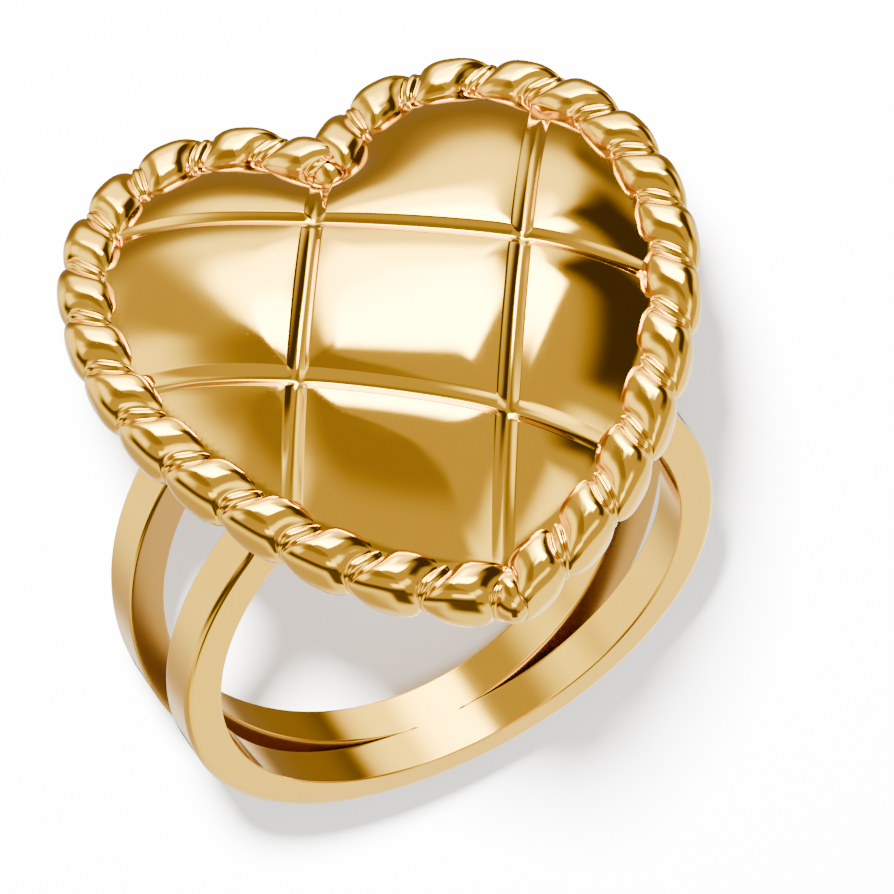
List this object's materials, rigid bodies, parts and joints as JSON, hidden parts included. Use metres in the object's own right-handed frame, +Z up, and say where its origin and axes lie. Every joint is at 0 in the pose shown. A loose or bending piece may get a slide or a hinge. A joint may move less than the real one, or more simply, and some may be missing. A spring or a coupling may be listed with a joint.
{
  "type": "heart ring",
  "caption": "Finger ring with a puffed, quilted heart in a beaded rope border on a split band, lying on its side",
  "frame": {"origin": "centre of the ring's box on the surface that it lies on", "axes": "+Z up from the surface, +Y along the ring's longest extent, from the heart side towards the palm side of the band; the heart faces -Y and a little up, with its lobes down"},
  "size_m": [0.0214, 0.0246, 0.0205],
  "materials": {
    "gold": "mirror-polished yellow gold"
  },
  "bodies": {
    "root": {"heart_ring": "gold"}
  },
  "joints": []
}
